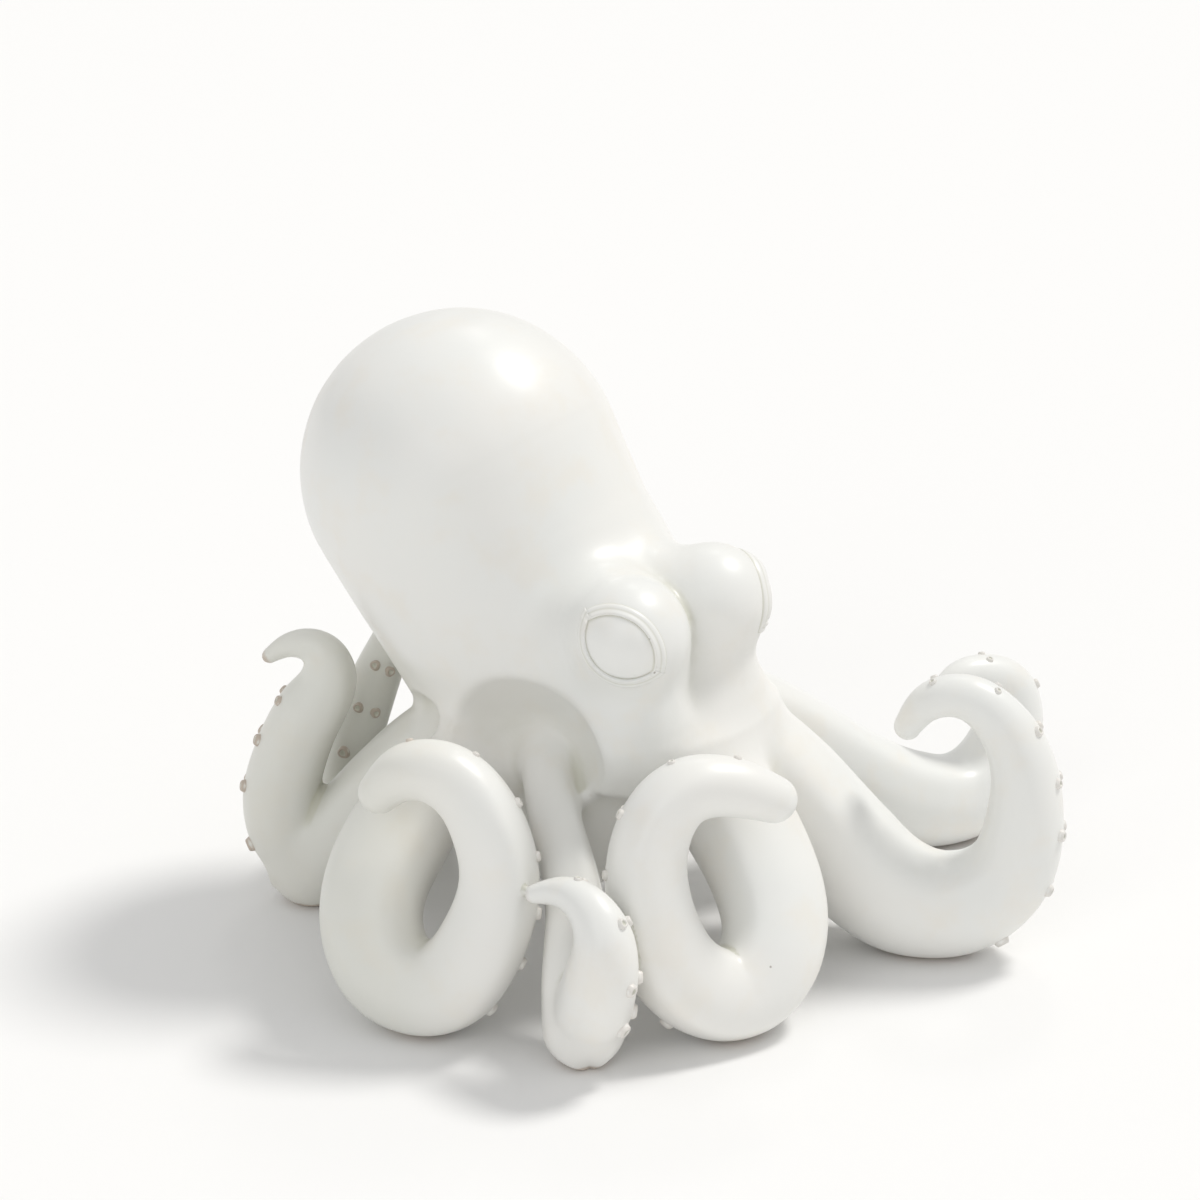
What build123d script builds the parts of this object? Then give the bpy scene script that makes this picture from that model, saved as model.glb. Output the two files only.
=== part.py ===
from build123d import *
import os
from math import cos, radians, sin

# A glazed ceramic octopus on eight curled arms, in millimetres, Z up, its face towards -Y.
# The origin is on the floor, under the middle of the whole figure.

# Where the eight arm lines meet, as seen from above
hub_x = -30.3
hub_y = 19.6

# Mantle: the bag of the head, a round form that leans back
mantle_radius = 79.5
mantle_height = 223.0
mantle_lean = 84.0
cast_wall = 6.0
neck_bore_radius = 46.0
# Back, up and radius of each section, as shares of the lean, the height and the radius
mantle_shares = [
    (0.07, 0.50, 0.985),
    (0.36, 0.655, 0.94),
    (0.70, 0.83, 0.955),
    (1.00, 1.00, 1.00),
]

# Scooped arches between the arms: angle about the hub, then the place out from the hub and up,
# and the radius of each scoop, all three as shares of the mantle radius
scoop_shares = [
    (-72.0, 1.22, 1.41, 0.53),
    (-135.0, 1.13, 1.32, 0.31),
    (180.0, 1.14, 1.30, 0.30),
    (135.0, 1.13, 1.32, 0.30),
    (90.0, 1.14, 1.32, 0.30),
]

# Face: two eye mounds that stand out of the head on short cheeks
face_yaw = -10.0
face_forward = 52.0
face_side = -13.0
eye_height = 181.0
eye_spacing = 59.0
eye_mound_radius = 28.0
cheek_radius = 45.0
cheek_forward = 4.0
cheek_height = 148.0
# Jowls: the columns of the face that run down from the eye mounds to the front arms
jowl_top_radius = 20.0
jowl_foot_radius = 27.0
jowl_drop = 49.0
jowl_inset = 3.0

# Eyes: almond openings with a raised rim
eye_yaw = 59.0
eye_pitch = 9.0
eye_tilt = 34.0
eye_opening_length = 38.0
eye_opening_width = 28.0
eyelid_width = 4.6
upper_lid_rise = 3.0
lower_lid_rise = 2.2
eyeball_rise = 1.2
eye_socket_depth = 10.0
seat_clearance = 0.2

# Web crown: the web and the stubs that the arms are luted to
web_top_radius = 73.0
web_foot_radius = 50.0
web_depth = 46.0
web_edge_fillet = 10.0
vent_diameter = 9.0

# Arms: reach out from the hub, height and sway of their middle lines, and their largest radius
arm_count = 8
arm_reach = 200.0
arm_height = 130.0
arm_sway = 60.0
arm_girth = 30.0
foot_flat = 0.8
tip_ball_share = 0.95
# Each arm's middle line from the hub to the tip: how far out, how far to the side, how high its
# underside is, and its radius, as shares of the four sizes above
arm_shares = {
    "left_1": [
        (0.20, 0.00, 0.73, 0.73),
        (0.32, 0.00, 0.60, 0.87),
        (0.46, 0.00, 0.375, 0.97),
        (0.61, -0.07, 0.13, 1.00),
        (0.745, -0.13, 0.00, 0.95),
        (0.885, -0.13, 0.015, 0.86),
        (0.99, -0.10, 0.155, 0.75),
        (1.03, -0.07, 0.395, 0.65),
        (1.02, -0.03, 0.64, 0.55),
        (0.96, 0.00, 0.84, 0.45),
        (0.875, 0.00, 0.945, 0.37),
        (0.79, 0.00, 0.93, 0.31),
        (0.74, 0.00, 0.845, 0.23),
    ],
    "left_2": [
        (0.20, 0.00, 0.73, 0.73),
        (0.32, -0.03, 0.605, 0.83),
        (0.46, -0.08, 0.46, 0.87),
        (0.61, -0.15, 0.29, 0.87),
        (0.76, -0.30, 0.12, 0.87),
        (0.91, -0.43, 0.01, 0.85),
        (1.05, -0.52, 0.01, 0.77),
        (1.15, -0.55, 0.135, 0.68),
        (1.195, -0.53, 0.335, 0.57),
        (1.18, -0.52, 0.49, 0.47),
        (1.11, -0.48, 0.585, 0.38),
        (1.025, -0.45, 0.625, 0.28),
        (0.98, -0.43, 0.625, 0.18),
    ],
    "left_3": [
        (0.20, 0.00, 0.73, 0.73),
        (0.32, 0.00, 0.605, 0.83),
        (0.46, -0.03, 0.42, 0.87),
        (0.59, -0.10, 0.205, 0.87),
        (0.73, -0.17, 0.02, 0.85),
        (0.865, -0.13, 0.02, 0.78),
        (0.955, -0.07, 0.185, 0.68),
        (0.97, 0.00, 0.425, 0.58),
        (0.92, 0.07, 0.62, 0.50),
        (0.83, 0.10, 0.72, 0.40),
        (0.755, 0.08, 0.685, 0.32),
        (0.735, 0.05, 0.615, 0.23),
    ],
    "left_4": [
        (0.20, 0.00, 0.73, 0.73),
        (0.32, 0.00, 0.605, 0.83),
        (0.44, 0.03, 0.445, 0.83),
        (0.55, 0.13, 0.25, 0.80),
        (0.635, 0.37, 0.065, 0.75),
        (0.68, 0.70, 0.00, 0.68),
        (0.69, 1.03, 0.095, 0.58),
        (0.655, 1.17, 0.29, 0.50),
        (0.625, 1.12, 0.475, 0.46),
        (0.615, 0.98, 0.665, 0.42),
        (0.61, 0.83, 0.815, 0.37),
        (0.61, 0.67, 0.93, 0.32),
        (0.62, 0.45, 1.00, 0.27),
        (0.635, 0.23, 0.995, 0.21),
        (0.64, 0.08, 0.95, 0.15),
    ],
    "right_1": [
        (0.20, 0.05, 0.735, 0.73),
        (0.31, 0.12, 0.635, 0.83),
        (0.43, 0.20, 0.47, 0.87),
        (0.56, 0.22, 0.265, 0.85),
        (0.645, 0.03, 0.085, 0.80),
        (0.66, -0.32, 0.00, 0.74),
        (0.635, -0.70, 0.07, 0.73),
        (0.60, -0.95, 0.27, 0.69),
        (0.58, -1.02, 0.49, 0.63),
        (0.57, -0.93, 0.705, 0.58),
        (0.59, -0.68, 0.85, 0.52),
        (0.635, -0.30, 0.86, 0.46),
        (0.67, -0.02, 0.82, 0.37),
    ],
    "right_2": [
        (0.15, -0.30, 0.815, 0.63),
        (0.25, -0.40, 0.77, 0.60),
        (0.35, -0.31, 0.68, 0.50),
        (0.465, -0.09, 0.535, 0.49),
        (0.585, 0.08, 0.345, 0.51),
        (0.67, 0.15, 0.135, 0.58),
        (0.72, 0.22, -0.015, 0.64),
    ],
    "right_3": [
        (0.20, -0.08, 0.76, 0.73),
        (0.34, -0.20, 0.675, 0.80),
        (0.47, -0.15, 0.56, 0.83),
        (0.61, -0.02, 0.405, 0.83),
        (0.715, 0.15, 0.215, 0.80),
        (0.725, 0.48, 0.03, 0.76),
        (0.665, 0.83, 0.015, 0.74),
        (0.59, 1.07, 0.21, 0.69),
        (0.545, 1.12, 0.465, 0.62),
        (0.555, 1.02, 0.685, 0.57),
        (0.605, 0.72, 0.86, 0.51),
        (0.67, 0.47, 0.88, 0.44),
        (0.715, 0.30, 0.815, 0.33),
    ],
    "right_4": [
        (0.20, 0.00, 0.73, 0.73),
        (0.32, 0.00, 0.605, 0.83),
        (0.445, 0.00, 0.455, 0.85),
        (0.575, 0.00, 0.25, 0.85),
        (0.695, 0.03, 0.06, 0.81),
        (0.755, 0.05, -0.015, 0.74),
    ],
}
# Two arms fold sharply at the foot, and go on from there in a second stretch
curl_shares = {
    "right_2": [
        (0.72, 0.22, 0.01, 0.54),
        (0.77, 0.32, 0.12, 0.59),
        (0.80, 0.40, 0.27, 0.56),
        (0.80, 0.42, 0.43, 0.47),
        (0.77, 0.30, 0.555, 0.36),
        (0.73, 0.08, 0.61, 0.26),
        (0.705, -0.17, 0.60, 0.16),
    ],
    "right_4": [
        (0.755, 0.05, 0.01, 0.64),
        (0.81, 0.07, 0.135, 0.68),
        (0.825, 0.05, 0.29, 0.66),
        (0.80, 0.00, 0.47, 0.63),
        (0.745, 0.00, 0.665, 0.59),
        (0.70, 0.00, 0.835, 0.47),
        (0.72, 0.00, 0.97, 0.33),
        (0.785, 0.00, 1.015, 0.23),
        (0.85, 0.00, 0.98, 0.14),
    ],
}
# The section of each arm where the stub ends and the arm is luted on
luting_section = 2
sections_per_step = 2

# Suckers: dimpled studs in two rows along the underside of each arm
sucker_diameter = 7.0
sucker_height = 1.8
dimple_depth = 0.9
sucker_pitch = 21.0
sucker_row_angle = 20.0
sucker_sides = 8
sucker_taper = 20.0
luting_gap = 0.1
# Sizes of the suckers from the foot to the tip
sucker_size_shares = (1.0, 0.85, 0.7, 0.5)
dimple_share = 0.55

cut_overrun = 5.0


def arm_angle(name):
    """Angle of an arm about the hub, from the front, positive to the figure's left."""
    side, number = name.split("_")
    angle = (int(number) - 0.5) * 360 / arm_count
    return angle if side == "left" else -angle


def polar_point(angle, out, side, up):
    """Point at a distance out from the hub along an angle, moved to the side, at a height."""
    ahead = Vector(sin(radians(angle)), -cos(radians(angle)), 0)
    across = Vector(cos(radians(angle)), sin(radians(angle)), 0)
    return Vector(hub_x, hub_y, 0) + ahead * out + across * side + Vector(0, 0, up)


def section_planes(points, side):
    """Planes square to a path at its points, their X axes carried along without twist."""
    planes = []
    for index, point in enumerate(points):
        before = points[max(index - 1, 0)]
        after = points[min(index + 1, len(points) - 1)]
        along = (after - before).normalized()
        side = (side - along * side.dot(along)).normalized()
        planes.append(Plane(origin=point, x_dir=side, z_dir=along))
    return planes


def arm_route(name, shares, side):
    """Section planes and radii along an arm, two to each step of its table, without twist."""
    radii = [share[3] * arm_girth for share in shares]
    points = [
        polar_point(
            arm_angle(name),
            share[0] * arm_reach,
            share[1] * arm_sway,
            share[2] * arm_height + radius - foot_flat,
        )
        for share, radius in zip(shares, radii)
    ]
    spine = Spline(*points)
    marks = [spine.param_at_point(point) for point in points]
    planes = []
    section_radii = []
    for index in range(sections_per_step * (len(points) - 1) + 1):
        step = min(index // sections_per_step, len(points) - 2)
        part_way = index / sections_per_step - step
        mark = marks[step] + part_way * (marks[step + 1] - marks[step])
        along = spine.tangent_at(mark)
        side = (side - along * side.dot(along)).normalized()
        planes.append(Plane(origin=spine.position_at(mark), x_dir=side, z_dir=along))
        section_radii.append(radii[step] + part_way * (radii[step + 1] - radii[step]))
    return planes, section_radii


def round_tube(planes, radii, ball_share=0):
    """Loft through circles, closed with a ball at its far end where a share is given."""
    with BuildPart(mode=Mode.PRIVATE) as tube:
        for plane, radius in zip(planes, radii):
            with BuildSketch(plane):
                Circle(radius)
        loft()
        if ball_share > 0:
            inwards = (1 - ball_share) * radii[-1]
            with Locations(planes[-1].offset(-inwards).origin):
                Sphere(ball_share * radii[-1])
    return tube.part


def head_form(radii):
    """The mantle and neck, lofted through circles up the leaning middle line."""
    points = [
        Vector(hub_x, hub_y + share[0] * mantle_lean, share[1] * mantle_height)
        for share in mantle_shares
    ]
    planes = section_planes(points, Vector(1, 0, 0))
    planes[0] = Plane(origin=points[0])
    return round_tube(planes, radii, 1)


def scoop_balls():
    """The balls that scoop out the arches."""
    balls = []
    for angle, out, up, radius in scoop_shares:
        centre = polar_point(angle, out * mantle_radius, 0, up * mantle_radius)
        with BuildPart(mode=Mode.PRIVATE) as ball:
            with Locations(centre):
                Sphere(radius * mantle_radius)
        balls.append(ball.part)
    return balls


def face_point(forward, side, up):
    """Point in front of the hub along the way the face looks."""
    return polar_point(face_yaw, forward, side, up)


def eye_plane(sign):
    """Plane through the middle of an eye mound, its Z out along the eye, its X to the outer corner."""
    centre = face_point(face_forward, face_side + sign * eye_spacing / 2, eye_height)
    yaw = radians(face_yaw + sign * eye_yaw)
    pitch = radians(eye_pitch)
    out = Vector(sin(yaw) * cos(pitch), -cos(yaw) * cos(pitch), sin(pitch))
    level = Vector(sign * cos(yaw), sign * sin(yaw), 0)
    upright = out.cross(level) if sign > 0 else level.cross(out)
    tilt = radians(eye_tilt)
    return Plane(origin=centre, x_dir=level * cos(tilt) + upright * sin(tilt), z_dir=out)


def almond_prism(plane, length, width, start, end):
    """Prism of almond outline along the plane's Z, from one height to another."""
    with BuildPart(mode=Mode.PRIVATE) as prism:
        with BuildSketch(plane.offset(start)):
            with BuildLine():
                ThreePointArc((-length / 2, 0), (0, width / 2), (length / 2, 0))
                ThreePointArc((length / 2, 0), (0, -width / 2), (-length / 2, 0))
            make_face()
        extrude(amount=end - start)
    return prism.part


eye_signs = {"left": 1, "right": -1}
eye_planes = {side: eye_plane(sign) for side, sign in eye_signs.items()}
seam_height = mantle_shares[0][1] * mantle_height
socket_floor = eye_mound_radius - eye_socket_depth
prism_end = eye_mound_radius + cut_overrun

# Head, solid at first: mantle and neck, cheeks and eye mounds, scooped between the arms
head_radii = [share[2] * mantle_radius for share in mantle_shares]
with BuildPart() as head_solid:
    add(head_form(head_radii))
    for side, sign in eye_signs.items():
        cheek = face_point(cheek_forward, face_side / 2, cheek_height)
        mound = eye_planes[side].origin
        along = (mound - cheek).normalized()
        planes = [Plane(origin=cheek, z_dir=along), Plane(origin=mound, z_dir=along)]
        add(round_tube(planes, [cheek_radius, eye_mound_radius], 1))
        jowl_top = Plane(origin=mound - eye_planes[side].z_dir * jowl_inset)
        planes = [jowl_top, jowl_top.offset(-jowl_drop)]
        add(round_tube(planes, [jowl_top_radius, jowl_foot_radius], tip_ball_share))
    for ball in scoop_balls():
        add(ball, mode=Mode.SUBTRACT)
    split(bisect_by=Plane.XY.offset(seam_height), keep=Keep.TOP)

# Cast head, hollow down to the bore of its neck
with BuildPart() as mantle_head:
    add(head_solid.part)
    add(head_form([neck_bore_radius] + [r - cast_wall for r in head_radii[1:]]), mode=Mode.SUBTRACT)
    for plane in eye_planes.values():
        socket = almond_prism(plane, eye_opening_length, eye_opening_width, socket_floor, prism_end)
        add(socket, mode=Mode.SUBTRACT)

# Arms, lofted from the luting face to a round tip, and cut flat underneath
arm_routes = {}
curl_routes = {}
arms = {}
for name, shares in arm_shares.items():
    angle = radians(arm_angle(name))
    across = Vector(cos(angle), sin(angle), 0)
    planes, radii = arm_route(name, shares, across)
    arm_routes[name] = planes, radii
    with BuildPart() as arm:
        first = luting_section * sections_per_step
        add(round_tube(planes[first:], radii[first:], tip_ball_share))
        if name in curl_shares:
            curl_routes[name] = arm_route(name, curl_shares[name], planes[-1].x_dir)
            add(round_tube(*curl_routes[name], tip_ball_share))
        split(bisect_by=Plane.XY, keep=Keep.TOP)
    arms[name] = arm.part

# Web crown: a tapered dish with eight stubs, fitted under and round the head
neck_y = hub_y + mantle_shares[0][0] * mantle_lean
web_foot = seam_height - web_depth
with BuildPart() as web_crown:
    with BuildSketch(Plane(origin=(hub_x, neck_y, web_foot))):
        Circle(web_foot_radius)
    with BuildSketch(Plane(origin=(hub_x, neck_y, seam_height))):
        Circle(web_top_radius)
    loft()
    fillet(web_crown.faces().sort_by(Axis.Z)[0].edges(), radius=web_edge_fillet)
    for ball in scoop_balls():
        add(ball, mode=Mode.SUBTRACT)
    for planes, radii in arm_routes.values():
        last = luting_section * sections_per_step + 1
        add(round_tube(planes[:last], radii[:last]))
    add(head_solid.part, mode=Mode.SUBTRACT)
    with BuildSketch(Plane(origin=(hub_x, neck_y, web_foot + cast_wall))):
        Circle(web_foot_radius - web_edge_fillet)
    with BuildSketch(Plane(origin=(hub_x, neck_y, seam_height))):
        Circle(neck_bore_radius)
    loft(mode=Mode.SUBTRACT)
    with BuildSketch(Plane(origin=(hub_x, neck_y, web_foot))):
        Circle(vent_diameter / 2)
    extrude(amount=web_depth, mode=Mode.SUBTRACT)

# Eyes
eye_parts = {}
for side, plane in eye_planes.items():
    with BuildPart() as eyeball:
        add(
            almond_prism(
                plane,
                eye_opening_length - 2 * seat_clearance,
                eye_opening_width - 2 * seat_clearance,
                socket_floor,
                prism_end,
            )
        )
        with Locations(plane.origin):
            Sphere(eye_mound_radius + eyeball_rise, mode=Mode.INTERSECT)
    eye_parts[f"eyeball_{side}"] = eyeball.part

    for lid, rise, keep in (
        ("upper", upper_lid_rise, Keep.TOP),
        ("lower", lower_lid_rise, Keep.BOTTOM),
    ):
        with BuildPart() as eyelid:
            add(
                almond_prism(
                    plane,
                    eye_opening_length + 2 * eyelid_width,
                    eye_opening_width + 2 * eyelid_width,
                    0,
                    prism_end,
                )
            )
            hole = almond_prism(plane, eye_opening_length, eye_opening_width, 0, prism_end)
            add(hole, mode=Mode.SUBTRACT)
            with Locations(plane.origin):
                Sphere(eye_mound_radius + rise, mode=Mode.INTERSECT)
            add(head_solid.part, mode=Mode.SUBTRACT)
            split(bisect_by=Plane(origin=plane.origin, z_dir=plane.y_dir), keep=keep)
        eye_parts[f"{lid}_eyelid_{side}"] = eyelid.part


def sucker_seats(name):
    """Planes on the arm's skin, past its foot, for its suckers, with the number of each one's size."""
    planes = curl_routes.get(name, arm_routes[name])[0]
    spine = Spline(*[plane.origin for plane in planes])
    foot = min(planes, key=lambda plane: plane.origin.Z)
    first = spine.param_at_point(foot.origin)
    side = foot.x_dir
    count = int((1 - first) * spine.length // sucker_pitch)
    seats = []
    for step in range(1, count):
        mark = first + (1 - first) * step / count
        centre = spine.position_at(mark)
        along = spine.tangent_at(mark)
        side = (side - along * side.dot(along)).normalized()
        size_index = int(len(sucker_size_shares) * step / count)
        for row in (-1, 1):
            lean = radians(row * sucker_row_angle)
            out = side * sin(lean) - along.cross(side) * cos(lean)
            ray = Axis(centre, out)
            hits = [hit for face in arms[name].faces() for hit in face.find_intersection_points(ray)]
            outer = [hit for hit in hits if (hit[0] - centre).dot(out) > 0]
            point, normal = min(outer, key=lambda hit: (hit[0] - centre).length)
            normal = normal if normal.dot(out) > 0 else -normal
            seat = Plane(origin=point, x_dir=along, z_dir=normal).offset(luting_gap)
            rim_radius = sucker_size_shares[size_index] * sucker_diameter / 2
            turns = [radians(index * 360 / sucker_sides) for index in range(sucker_sides)]
            rim = [Vector(cos(turn), sin(turn), 0) * rim_radius for turn in turns]
            sunk = any(arms[name].is_inside(seat.from_local_coords(corner)) for corner in rim)
            if point.Z > sucker_diameter and not sunk:
                seats.append((seat, size_index))
    return seats


def sucker_stud(size):
    """One sucker on the XY plane: a tapered stud with a dimple in its top."""
    radius = size * sucker_diameter / 2
    height = size * sucker_height
    with BuildPart() as stud:
        with BuildSketch():
            RegularPolygon(radius, sucker_sides)
        extrude(amount=height, taper=sucker_taper)
        with BuildSketch(Plane.XY.offset(height)):
            RegularPolygon(dimple_share * radius, sucker_sides)
        extrude(amount=-size * dimple_depth, taper=sucker_taper, mode=Mode.SUBTRACT)
    return stud.part


studs = [sucker_stud(size) for size in sucker_size_shares]
suckers = {}
for name in arm_shares:
    copies = [studs[index].moved(plane.location) for plane, index in sucker_seats(name)]
    suckers[name] = Compound(children=copies)

pieces = {"mantle_head": mantle_head.part, "web_crown": web_crown.part}
pieces.update({f"arm_{name}": part for name, part in arms.items()})
pieces.update({f"suckers_{name}": part for name, part in suckers.items()})
pieces.update(eye_parts)

os.makedirs("parts", exist_ok=True)
for label, part in pieces.items():
    part.label = label
    export_step(part, f"parts/{label}.step")
    print(label, len(part.solids()), "solids", round(part.volume), "mm3", flush=True)
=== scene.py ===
import math
import bpy
import numpy as np
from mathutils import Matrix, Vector


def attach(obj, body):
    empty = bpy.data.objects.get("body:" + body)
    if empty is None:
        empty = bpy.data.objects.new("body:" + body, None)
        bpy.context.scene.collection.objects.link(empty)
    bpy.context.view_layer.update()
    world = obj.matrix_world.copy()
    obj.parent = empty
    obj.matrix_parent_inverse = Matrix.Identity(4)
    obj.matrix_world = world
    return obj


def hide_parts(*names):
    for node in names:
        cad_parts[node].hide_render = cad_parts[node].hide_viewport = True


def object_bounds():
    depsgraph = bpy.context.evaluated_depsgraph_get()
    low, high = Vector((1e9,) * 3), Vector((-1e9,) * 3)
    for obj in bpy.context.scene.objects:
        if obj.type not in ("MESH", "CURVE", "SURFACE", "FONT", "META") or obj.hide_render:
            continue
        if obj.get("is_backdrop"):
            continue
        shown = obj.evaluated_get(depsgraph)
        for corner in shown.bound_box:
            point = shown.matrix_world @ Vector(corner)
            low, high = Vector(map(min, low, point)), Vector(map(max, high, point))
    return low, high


# Glazed ceramic octopus on eight curled arms. Lengths below are in millimetres, and meshes are made in metres.
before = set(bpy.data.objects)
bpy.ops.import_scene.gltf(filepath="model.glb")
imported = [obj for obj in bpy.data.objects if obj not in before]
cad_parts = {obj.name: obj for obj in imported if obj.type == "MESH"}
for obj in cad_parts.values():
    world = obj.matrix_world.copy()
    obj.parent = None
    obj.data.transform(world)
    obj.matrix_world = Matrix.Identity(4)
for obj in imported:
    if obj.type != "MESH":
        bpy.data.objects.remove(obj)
lowest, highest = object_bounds()
cadBox = [[float(v) for v in lowest], [float(v) for v in highest]]
mm = 0.001

# Where the arm lines meet, and the body's own sizes
body = {
    "hubX": -30.3, "hubY": 19.6,
    "mantle": [(5.9, 111.5, 78.3), (30.2, 146.1, 74.7), (58.8, 185.1, 75.9), (84.0, 223.0, 79.5)],  # back, up, radius
    "seam": 111.5, "webDepth": 46.0, "webTop": 73.0, "webFoot": 50.0, "webRound": 9.0,
    "cheek": (4.0, -6.5, 148.0, 45.0),  # forward, side, up, radius along the way the face looks
    "mound": (52.0, -13.0, 181.0, 28.0), "moundSpacing": 59.0, "faceYaw": -10.0,
    "jowl": (20.0, 27.0, 49.0, 3.0),  # top radius, foot radius, drop, inset
    # the fold behind the front arm: angle, out, up, radius
    "curtain": [(-88.0, 26.0, 88.0, 34.0), (-80.0, 42.0, 62.0, 25.0)],
    "moundBlend": 5.0, "jowlBlend": 9.0, "browBlend": 18.0, "webBlend": 14.0, "curtainBlend": 18.0, "seamRound": 6.0,
    "handWobble": 0.42,
}
# Scooped arches between the arm roots: angle, out, up, radius
scoops = {
    "front": [(-89.0, 103.0, 115.0, 52.0)],
    "under": [(-98.0, 104.0, 74.0, 44.0), (-58.0, 96.0, 70.0, 34.0)],
    "others": [(-135.0, 89.8, 104.9, 24.6), (180.0, 90.6, 103.4, 23.9), (135.0, 89.8, 104.9, 23.9),
               (90.0, 90.6, 104.9, 23.9)],
    "edge": 3.4,
}
# Arms: out, side and underside height of the middle line, and radius, as shares of the four sizes
armSize = {"reach": 200.0, "sway": 60.0, "height": 130.0, "girth": 30.0, "flat": 0.8, "lutingRow": 2,
           "lutingOf": {"right_2": 3}}
armRows = {
    "left_1": [(0.20, 0.00, 0.73, 0.73), (0.32, 0.00, 0.60, 0.87), (0.46, 0.00, 0.375, 0.97),
               (0.61, -0.07, 0.13, 1.00), (0.745, -0.13, 0.00, 0.95), (0.885, -0.13, 0.015, 0.86),
               (0.99, -0.10, 0.155, 0.75), (1.03, -0.07, 0.395, 0.65), (1.02, -0.03, 0.64, 0.55),
               (0.96, 0.00, 0.84, 0.45), (0.875, 0.00, 0.945, 0.37), (0.79, 0.00, 0.93, 0.31),
               (0.74, 0.00, 0.845, 0.23)],
    "left_2": [(0.20, 0.00, 0.73, 0.73), (0.32, -0.03, 0.605, 0.83), (0.46, -0.08, 0.46, 0.87),
               (0.61, -0.15, 0.29, 0.87), (0.76, -0.30, 0.12, 0.87), (0.91, -0.43, 0.01, 0.85),
               (1.05, -0.52, 0.01, 0.77), (1.15, -0.55, 0.135, 0.68), (1.195, -0.53, 0.335, 0.57),
               (1.18, -0.52, 0.49, 0.47), (1.11, -0.48, 0.585, 0.38), (1.025, -0.45, 0.625, 0.28),
               (0.98, -0.43, 0.625, 0.18)],
    "left_3": [(0.20, 0.00, 0.73, 0.73), (0.32, 0.00, 0.605, 0.83), (0.46, -0.03, 0.42, 0.87),
               (0.59, -0.10, 0.205, 0.87), (0.73, -0.17, 0.02, 0.85), (0.865, -0.13, 0.02, 0.78),
               (0.955, -0.07, 0.185, 0.68), (0.97, 0.00, 0.425, 0.58), (0.92, 0.07, 0.62, 0.50),
               (0.83, 0.10, 0.72, 0.40), (0.755, 0.08, 0.685, 0.32), (0.735, 0.05, 0.615, 0.23)],
    "left_4": [(0.20, 0.00, 0.73, 0.73), (0.32, 0.00, 0.605, 0.83), (0.44, 0.03, 0.445, 0.83),
               (0.55, 0.13, 0.25, 0.80), (0.635, 0.37, 0.065, 0.75), (0.68, 0.70, 0.00, 0.68),
               (0.69, 1.03, 0.095, 0.58), (0.655, 1.17, 0.29, 0.50), (0.625, 1.12, 0.475, 0.46),
               (0.615, 0.98, 0.665, 0.42), (0.61, 0.83, 0.815, 0.37), (0.61, 0.67, 0.93, 0.32),
               (0.62, 0.45, 1.00, 0.27), (0.635, 0.23, 0.995, 0.21), (0.64, 0.08, 0.95, 0.15)],
    "right_1": [(0.20, 0.05, 0.735, 0.73), (0.31, 0.12, 0.635, 0.83), (0.43, 0.20, 0.47, 0.87),
                (0.56, 0.22, 0.265, 0.85), (0.645, 0.03, 0.085, 0.80), (0.66, -0.32, 0.00, 0.74),
                (0.635, -0.70, 0.07, 0.73), (0.60, -0.95, 0.27, 0.69), (0.58, -1.02, 0.49, 0.63),
                (0.57, -0.93, 0.705, 0.58), (0.59, -0.68, 0.85, 0.52), (0.635, -0.30, 0.86, 0.46),
                (0.67, -0.02, 0.82, 0.37)],
    "right_2": [(0.15, -0.26, 0.80, 0.34), (0.25, -0.34, 0.77, 0.36), (0.35, -0.28, 0.69, 0.38),
                (0.465, -0.09, 0.54, 0.42), (0.585, 0.08, 0.345, 0.48), (0.67, 0.15, 0.135, 0.58),
                (0.72, 0.22, -0.015, 0.64)],
    "right_3": [(0.20, -0.08, 0.62, 0.45), (0.34, -0.18, 0.585, 0.62), (0.47, -0.15, 0.535, 0.79),
                (0.61, -0.02, 0.405, 0.83), (0.715, 0.15, 0.215, 0.80), (0.725, 0.48, 0.03, 0.76),
                (0.665, 0.83, 0.015, 0.74), (0.59, 1.07, 0.21, 0.69), (0.545, 1.12, 0.465, 0.62),
                (0.555, 1.02, 0.685, 0.57), (0.605, 0.72, 0.86, 0.51), (0.67, 0.47, 0.88, 0.44),
                (0.715, 0.30, 0.815, 0.33)],
    "right_4": [(0.20, 0.00, 0.73, 0.73), (0.32, 0.00, 0.605, 0.83), (0.445, 0.00, 0.455, 0.85),
                (0.575, 0.00, 0.25, 0.85), (0.695, 0.03, 0.06, 0.81), (0.755, 0.05, -0.015, 0.74)],
}
curlRows = {
    "right_2": [(0.72, 0.22, 0.01, 0.54), (0.77, 0.32, 0.12, 0.59), (0.80, 0.40, 0.27, 0.56),
                (0.80, 0.42, 0.43, 0.47), (0.77, 0.30, 0.555, 0.36), (0.73, 0.08, 0.61, 0.26),
                (0.705, -0.17, 0.60, 0.16)],
    "right_4": [(0.755, 0.05, 0.01, 0.64), (0.81, 0.07, 0.135, 0.68), (0.825, 0.05, 0.29, 0.66),
                (0.80, 0.00, 0.47, 0.63), (0.745, 0.00, 0.665, 0.59), (0.70, 0.00, 0.835, 0.47),
                (0.72, 0.00, 0.97, 0.33), (0.785, 0.00, 1.015, 0.23), (0.85, 0.00, 0.98, 0.14)],
}
# Soft edges and flat back of an arm as shares of its radius, at angles in radians, and its blends
armShape = {"edge": 0.060, "edgeAt": 0.90, "edgeWidth": 0.30, "flat": 0.055, "flatWidth": 0.50, "rootBlend": 24.0,
            "rootShare": {"right_2": 0.6}, "tipBlend": 0.4, "blendNear": 74.0, "blendFar": 118.0, "foldBlend": 5.0}
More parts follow.
